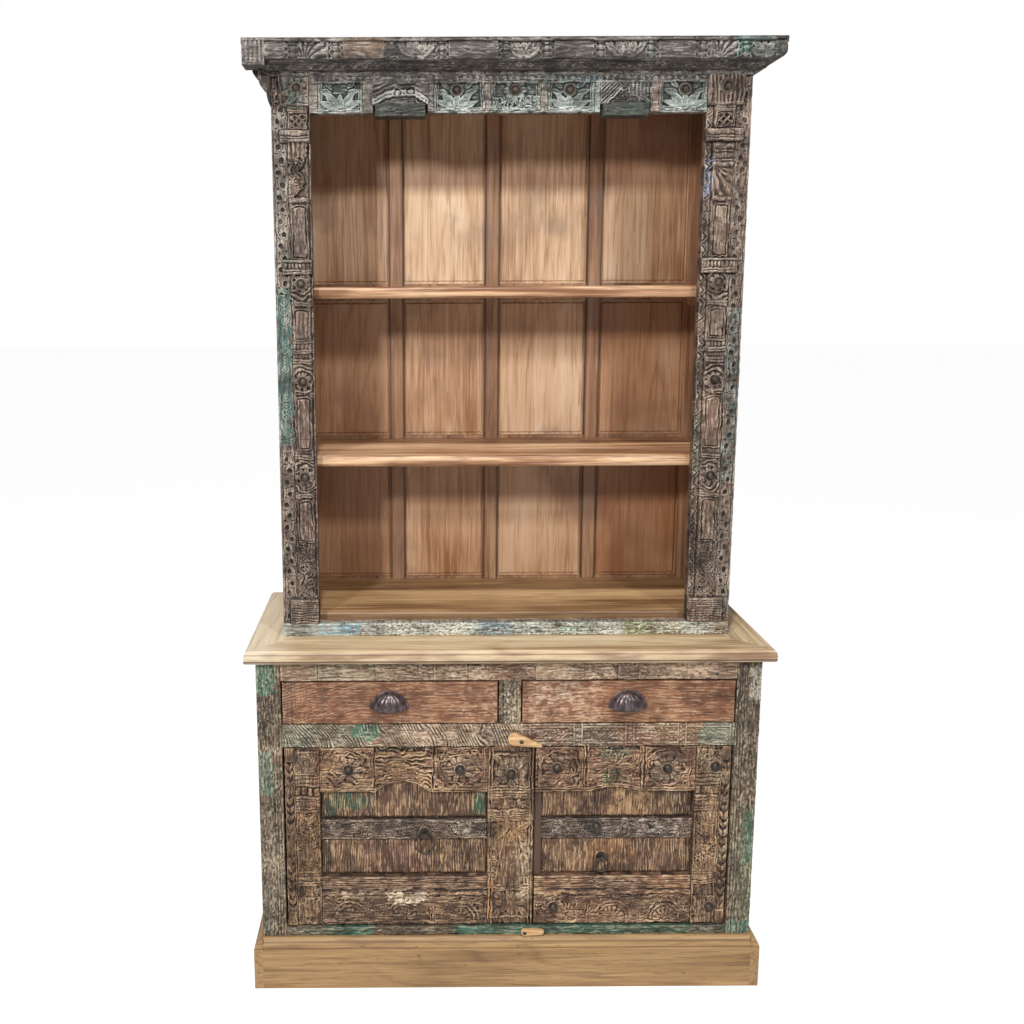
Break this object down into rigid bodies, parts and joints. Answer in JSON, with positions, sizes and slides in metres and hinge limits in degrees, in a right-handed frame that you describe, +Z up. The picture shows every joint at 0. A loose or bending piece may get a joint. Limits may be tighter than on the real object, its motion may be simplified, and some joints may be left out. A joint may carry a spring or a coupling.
{
  "type": "bookcase",
  "caption": "Tall bookcase with open shelves inside an old carved door frame, on a base with drawers and carved cupboard doors held by wooden turn buttons",
  "frame": {"origin": "on the floor, in the middle of the outline seen from above", "axes": "X to the right seen from the front, Y to the back, Z up"},
  "size_m": [1.18, 0.48, 2.12],
  "materials": {
    "carved_frame": "old carved hardwood, weathered grey-brown with worn paint remains",
    "painted_wood": "old boards with worn whitewash and blue-green paint",
    "weathered_post": "old post, brown with grey-green paint remains",
    "black_iron": "dark oiled iron",
    "drawer_wood": "red-brown plank with clear wax",
    "carved_door": "old carved hardwood, brown with pale worn edges",
    "plinth_wood": "honey-tan knotty plank, waxed",
    "top_wood": "pale sand-coloured plank, waxed",
    "button_wood": "pale bare wood",
    "honey_wood": "honey-coloured plank, waxed",
    "carcass_wood": "honey-brown plank, waxed"
  },
  "bodies": {
    "cabinet": {"back_frame": "honey_wood", "back_panels": "honey_wood", "base_back_boards": "carcass_wood", "base_floor": "carcass_wood", "base_side_panels": "carcass_wood", "base_side_rails": "carcass_wood", "base_top_border": "top_wood", "base_top_field": "top_wood", "bottom_board": "honey_wood", "bottom_rail": "painted_wood", "button_nails": "black_iron", "cornice_front": "carved_frame", "cornice_returns": "carved_frame", "drawer_divider": "painted_wood", "drawer_runners": "carcass_wood", "foot_rail": "painted_wood", "frame_bosses": "black_iron", "left_front_post": "weathered_post", "left_jamb": "carved_frame", "lintel": "carved_frame", "lower_shelf": "honey_wood", "mid_rail": "painted_wood", "plinth_front": "plinth_wood", "plinth_returns": "plinth_wood", "rear_posts": "carcass_wood", "right_front_post": "weathered_post", "right_jamb": "carved_frame", "roof_board": "carcass_wood", "shelf_cleats": "honey_wood", "top_rail": "painted_wood", "upper_linings": "honey_wood", "upper_shelf": "honey_wood", "upper_sides": "carcass_wood"},
    "left_drawer": {"left_drawer_front": "drawer_wood", "left_drawer_box": "carcass_wood", "left_cup_pull": "black_iron"},
    "right_drawer": {"right_drawer_front": "drawer_wood", "right_drawer_box": "carcass_wood", "right_cup_pull": "black_iron"},
    "left_door": {"left_door_bottom_rail": "carved_door", "left_door_centre_post": "carved_door", "left_door_iron": "black_iron", "left_door_mid_rail": "carved_door", "left_door_panels": "carved_door", "left_door_pivots": "black_iron", "left_door_stile": "carved_door", "left_door_top_rail": "carved_door"},
    "right_door": {"right_door_bottom_rail": "carved_door", "right_door_iron": "black_iron", "right_door_meeting_stile": "carved_door", "right_door_mid_rail": "carved_door", "right_door_panels": "carved_door", "right_door_pivots": "black_iron", "right_door_stile": "carved_door", "right_door_top_rail": "carved_door"},
    "top_button": {"top_button": "button_wood"},
    "bottom_button": {"bottom_button": "button_wood"},
    "left_ring": {"left_ring": "black_iron"},
    "right_ring": {"right_ring": "black_iron"}
  },
  "joints": [
    {"name": "left_drawer_slide", "type": "slide", "parent": "cabinet", "child": "left_drawer", "axis": [0, -1, 0], "range_m": [0, 0.3]},
    {"name": "right_drawer_slide", "type": "slide", "parent": "cabinet", "child": "right_drawer", "axis": [0, -1, 0], "range_m": [0, 0.3]},
    {"name": "left_door_swing", "type": "hinge", "parent": "cabinet", "child": "left_door", "pos_m": [-0.497, -0.199, 0.3645], "axis": [0, 0, -1], "range_deg": [0, 100]},
    {"name": "right_door_swing", "type": "hinge", "parent": "cabinet", "child": "right_door", "pos_m": [0.497, -0.199, 0.3645], "axis": [0, 0, 1], "range_deg": [0, 100]},
    {"name": "left_ring_swing", "type": "hinge", "parent": "left_door", "child": "left_ring", "pos_m": [-0.19, -0.205, 0.371], "axis": [-1, 0, 0], "range_deg": [0, 100]},
    {"name": "right_ring_swing", "type": "hinge", "parent": "right_door", "child": "right_ring", "pos_m": [0.222, -0.197, 0.305], "axis": [-1, 0, 0], "range_deg": [0, 100]},
    {"name": "top_button_turn", "type": "hinge", "parent": "cabinet", "child": "top_button", "pos_m": [0.029, -0.2168, 0.604], "axis": [0, 1, 0], "range_deg": [0, 75]},
    {"name": "bottom_button_turn", "type": "hinge", "parent": "cabinet", "child": "bottom_button", "pos_m": [0.042, -0.2158, 0.1315], "axis": [0, 1, 0], "range_deg": [-90, 0]}
  ]
}
